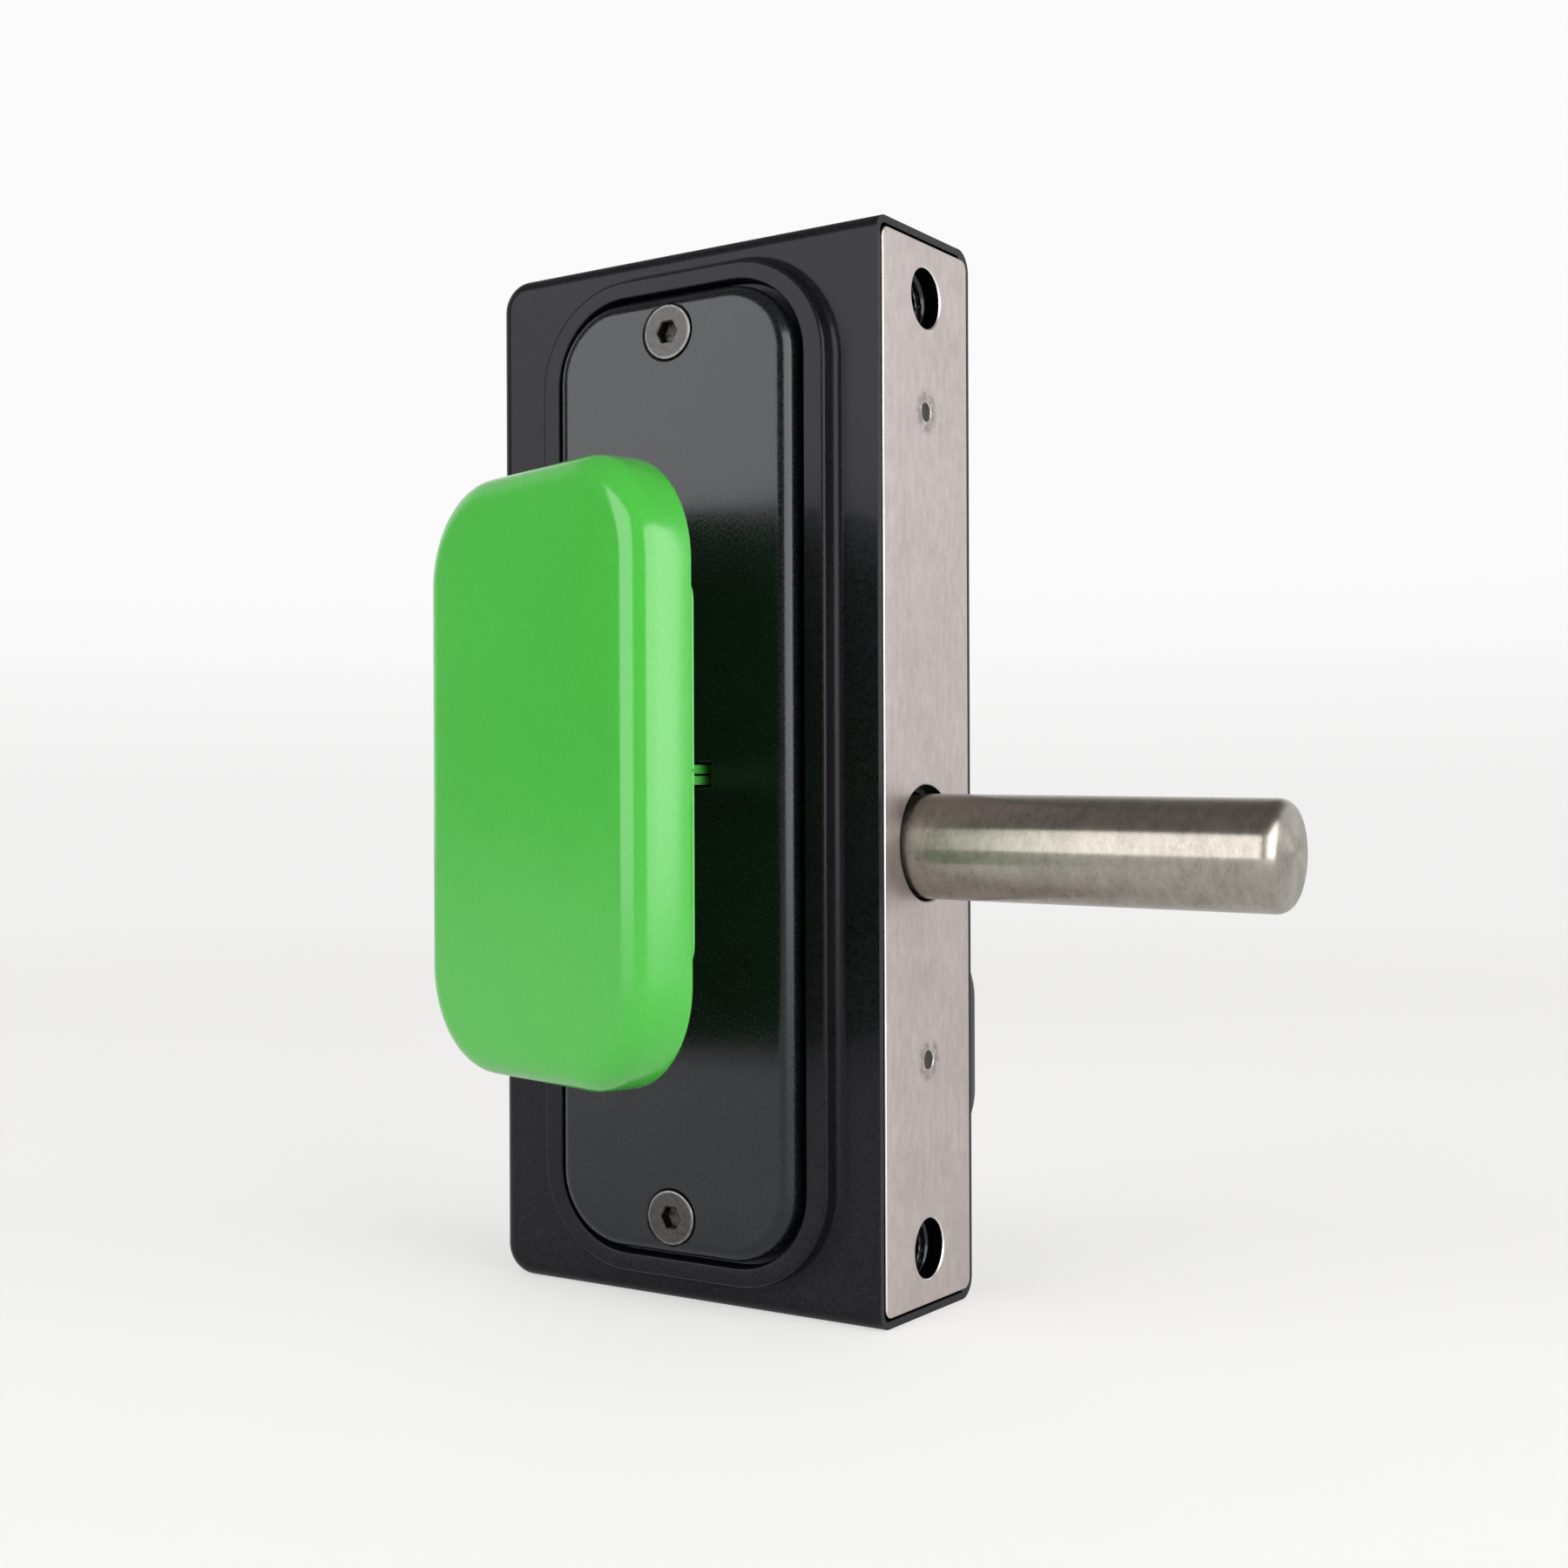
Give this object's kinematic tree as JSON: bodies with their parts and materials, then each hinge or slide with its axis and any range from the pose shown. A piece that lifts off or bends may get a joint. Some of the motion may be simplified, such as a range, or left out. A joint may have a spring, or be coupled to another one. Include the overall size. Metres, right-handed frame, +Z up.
{
  "type": "gate lock",
  "caption": "Surface-mounted gate lock: black box case with a stainless faceplate, a round sliding bolt, a green push pad on a pivoted arm and a key cylinder on the far side.",
  "frame": {"origin": "centre of the faceplate's outer face", "axes": "+X out of the faceplate along the bolt, -Y towards the push pad, +Y towards the key cylinder, +Z up along the case's height"},
  "size_m": [0.1428, 0.1022, 0.185],
  "materials": {
    "case_paint": "fine-grained satin black coating",
    "cover_paint": "fine-grained satin black coating",
    "stainless": "stainless steel with fine upright brushing",
    "bolt_steel": "ground and lightly brushed round bar",
    "black_steel": "glossy black oxide",
    "zinc_steel": "zinc plated, dull",
    "screw_steel": "gunmetal grey",
    "spring_steel": "drawn wire",
    "guide_plastic": "black engineering plastic",
    "guard_plastic": "black, lightly textured",
    "cylinder_brass": "satin brass, lightly worn",
    "pad_green": "smooth green, soft sheen",
    "arm_green": "smooth green coating"
  },
  "bodies": {
    "case": {"case_shell": "case_paint", "rear_cover": "case_paint", "rear_screws": "screw_steel", "inner_cover": "cover_paint", "cover_screws": "screw_steel", "faceplate": "stainless", "faceplate_rivets": "stainless", "fixing_sleeves": "black_steel", "chassis": "zinc_steel", "bolt_guide": "guide_plastic", "guide_screws": "screw_steel", "pivot_bracket": "zinc_steel", "bracket_screws": "screw_steel", "pivot_pin": "zinc_steel", "pivot_clip": "screw_steel", "spring_rod": "zinc_steel", "bolt_spring": "spring_steel", "cylinder_guard": "guard_plastic", "guard_screws": "screw_steel", "cylinder_body": "cylinder_brass", "cylinder_screw": "screw_steel", "lever_stud": "zinc_steel", "lever_clip": "screw_steel"},
    "bolt": {"bolt": "bolt_steel", "bolt_clip": "screw_steel", "bolt_carriage": "zinc_steel", "carriage_screws": "screw_steel"},
    "paddle": {"push_pad": "pad_green", "pad_screws": "screw_steel", "arm_plate_upper": "arm_green", "arm_plate_lower": "arm_green", "paddle_hub": "cylinder_brass", "arm_rivet": "arm_green", "drive_pin": "zinc_steel"},
    "key_lever": {"key_lever": "zinc_steel"},
    "key_rotor": {"cylinder_plug": "cylinder_brass", "cylinder_cam": "zinc_steel"}
  },
  "joints": [
    {"name": "bolt_slide", "type": "slide", "parent": "case", "child": "bolt", "axis": [-0.9998, 0, 0.0192], "range_m": [0, 0.014], "stiffness_N_per_m": 500, "springref_m": -0.02, "deforming": ["bolt_spring"]},
    {"name": "paddle_swing", "type": "hinge", "parent": "case", "child": "paddle", "pos_m": [-0.054, -0.017, 0], "axis": [0, 0, 1], "range_deg": [0, 30]},
    {"name": "key_lever_swing", "type": "hinge", "parent": "case", "child": "key_lever", "pos_m": [-0.043, 0.0007, -0.076], "axis": [0, -1, 0], "range_deg": [0, 14.3]},
    {"name": "key_turn", "type": "hinge", "parent": "case", "child": "key_rotor", "pos_m": [-0.021, 0, -0.0415], "axis": [0, 1, 0], "range_deg": [-142, 30]}
  ],
  "couplings": [
    {"joint": "paddle_swing", "follows": "bolt_slide", "rad_per_m": 37.394},
    {"joint": "key_lever_swing", "follows": "bolt_slide", "rad_per_m": 17.797}
  ]
}
